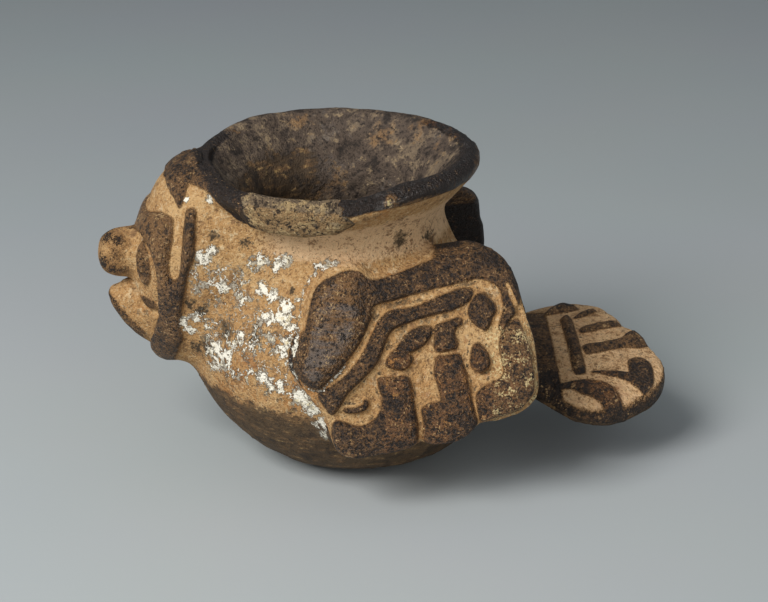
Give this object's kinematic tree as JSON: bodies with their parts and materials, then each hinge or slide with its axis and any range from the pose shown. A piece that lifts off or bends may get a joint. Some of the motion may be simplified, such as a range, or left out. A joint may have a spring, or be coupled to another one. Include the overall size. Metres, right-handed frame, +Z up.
{
  "type": "bird effigy jar",
  "caption": "Small globular earthenware jar shaped as a bird, with a flaring lip, a beaked head in front, moulded relief wings and a fan tail.",
  "frame": {"origin": "on the flat foot the jar rests on, under the belly", "axes": "+Z up, the head looks along -X, the tail points along +X, the left wing is on the -Y side"},
  "size_m": [0.1314, 0.0886, 0.0742],
  "materials": {
    "bare_clay": "bare tan clay, dry and slightly polished, with pale lime specks",
    "dark_slip": "dark brown-black slip, worn and speckled",
    "worn_slip": "dark slip on the raised parts, worn through to tan clay in the grooves"
  },
  "bodies": {
    "root": {"base_bowl": "worn_slip", "shoulder_wall": "bare_clay", "neck": "bare_clay", "lip_coil": "dark_slip", "head": "bare_clay", "crown": "dark_slip", "brow_band": "dark_slip", "nape_strap_left": "dark_slip", "nape_strap_right": "dark_slip", "eye_left": "dark_slip", "eye_right": "dark_slip", "upper_beak": "bare_clay", "lower_beak": "bare_clay", "wing_left": "worn_slip", "wing_right": "worn_slip", "tail_fan": "worn_slip"}
  },
  "joints": []
}
